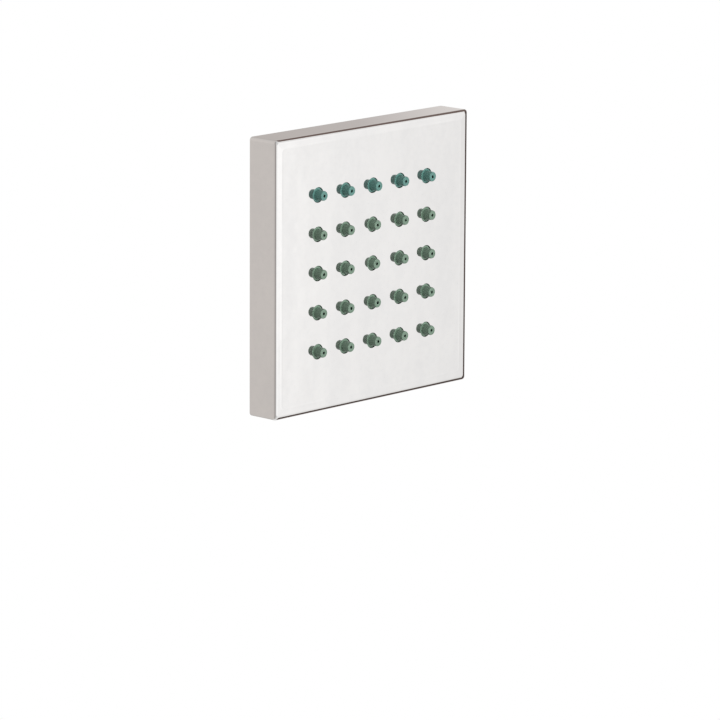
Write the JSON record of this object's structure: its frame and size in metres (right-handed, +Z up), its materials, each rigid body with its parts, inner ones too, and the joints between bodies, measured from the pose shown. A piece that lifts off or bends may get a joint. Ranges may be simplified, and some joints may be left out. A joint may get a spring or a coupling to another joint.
{
  "type": "shower body jet",
  "caption": "Square polished body jet with a grid of soft green rubber nozzles, tilting and turning on a ball joint behind its plate, fed through a threaded half-inch inlet.",
  "frame": {"origin": "centre of the inlet's rim, where the jet screws on the pipe in the wall", "axes": "+Y along the inlet towards the wall, the face looks along -Y, +Z up, +X to the right seen from the front"},
  "size_m": [0.1, 0.0461, 0.1],
  "materials": {
    "chrome": "polished chrome plate on brass",
    "back_metal": "satin chrome plate on brass",
    "brass": "turned brass",
    "steel": "plain stainless",
    "nozzle_rubber": "green silicone",
    "seal_rubber": "black rubber",
    "grey_plastic": "moulded plastic",
    "white_plastic": "white acetal"
  },
  "bodies": {
    "inlet": {"ball_inlet": "chrome", "inlet_washer": "seal_rubber", "filter_screen": "steel", "flow_disc": "grey_plastic"},
    "rear_seat": {"friction_ring": "white_plastic"},
    "front_seat": {"ball_seal": "white_plastic"},
    "head": {"front_shell": "chrome", "nozzle_mat": "nozzle_rubber", "mat_retainer": "grey_plastic", "back_gasket": "seal_rubber", "back_plate": "back_metal", "back_plate_screws": "steel", "ball_socket": "brass", "spring_ring": "seal_rubber", "socket_seal": "seal_rubber", "socket_nut": "brass", "swivel_nut": "chrome"}
  },
  "joints": [
    {"name": "head_tilt", "type": "hinge", "parent": "inlet", "child": "rear_seat", "pos_m": [0, -0.024, 0], "axis": [1, 0, 0], "range_deg": [-12, 12]},
    {"name": "head_swing", "type": "hinge", "parent": "rear_seat", "child": "front_seat", "pos_m": [0, -0.024, 0], "axis": [0, 0, 1], "range_deg": [-12, 12]},
    {"name": "head_spin", "type": "hinge", "parent": "front_seat", "child": "head", "pos_m": [0, -0.024, 0], "axis": [0, 1, 0], "continuous": true}
  ]
}
